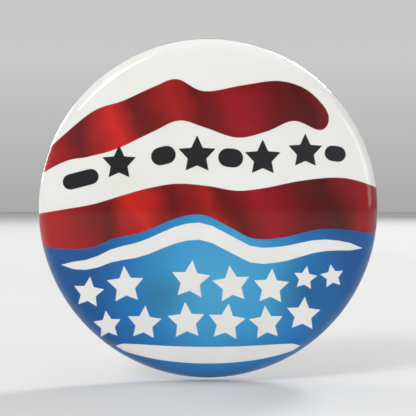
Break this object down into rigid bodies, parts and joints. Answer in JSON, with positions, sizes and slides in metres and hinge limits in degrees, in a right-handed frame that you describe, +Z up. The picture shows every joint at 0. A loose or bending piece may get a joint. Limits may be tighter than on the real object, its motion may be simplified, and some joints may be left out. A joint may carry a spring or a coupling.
{
  "type": "button badge",
  "caption": "Round domed button badge with a printed face under clear film, a recessed back plate, a brooch bar, a hinged pin and a roll-over safety catch.",
  "frame": {"origin": "centre of the flat ring at the back that lies on the garment, in its plane", "axes": "-Y is the way the printed face looks, +Y points towards the wearer, +Z is up as worn"},
  "size_m": [0.0446, 0.0088, 0.0446],
  "materials": {
    "tinplate": "bright rolled tin, fine rolling lines",
    "printed_paper": "offset print in red, blue and black on white",
    "clear_film": "clear, high gloss",
    "nickel_plate": "bright nickel, lightly tumbled",
    "pin_steel": "drawn wire, ground point"
  },
  "bodies": {
    "button": {"front_shell": "tinplate", "printed_disc": "printed_paper", "clear_film": "clear_film", "back_plate": "tinplate", "brooch_bar": "nickel_plate", "bar_rivets": "nickel_plate", "hinge_rivet": "nickel_plate"},
    "pin": {"pin_stem": "pin_steel"},
    "catch": {"safety_catch": "nickel_plate"}
  },
  "joints": [
    {"name": "pin_swing", "type": "hinge", "parent": "button", "child": "pin", "pos_m": [-0.01097, 0.0012, 0.004], "axis": [0, 0, 1], "range_deg": [0, 70]},
    {"name": "catch_turn", "type": "hinge", "parent": "button", "child": "catch", "pos_m": [0.01107, 0.0012, 0.004], "axis": [1, 0, 0], "range_deg": [0, 120]}
  ]
}
